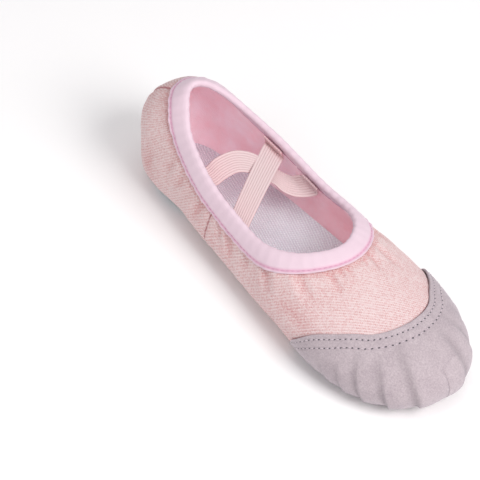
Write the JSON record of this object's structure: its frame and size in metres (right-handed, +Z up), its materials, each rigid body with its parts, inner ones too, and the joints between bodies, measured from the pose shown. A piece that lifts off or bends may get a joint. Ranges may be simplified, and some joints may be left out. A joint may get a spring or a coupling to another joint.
{
  "type": "ballet shoe",
  "caption": "Pink canvas ballet slipper with a mauve suede toe cap, a grey split suede sole, a folded tape collar and crossed elastics.",
  "frame": {"origin": "centre of the shoe's plan outline, on the plane that both sole pads rest on", "axes": "+X from heel to toe, +Y to the shoe's left, +Z up out of the collar"},
  "size_m": [0.1999, 0.0748, 0.0577],
  "materials": {
    "pink_canvas": "matte",
    "mauve_suede": "matte",
    "grey_suede": "matte",
    "lilac_knit": "matte",
    "lilac_tape": "satin",
    "pink_elastic": "matte"
  },
  "bodies": {
    "root": {"upper": "pink_canvas", "toe_cap": "mauve_suede", "sole_front": "grey_suede", "sole_heel": "grey_suede", "insole": "lilac_knit", "throat_binding": "lilac_tape", "elastic_strap_lower": "pink_elastic", "elastic_strap_upper": "pink_elastic"}
  },
  "joints": []
}
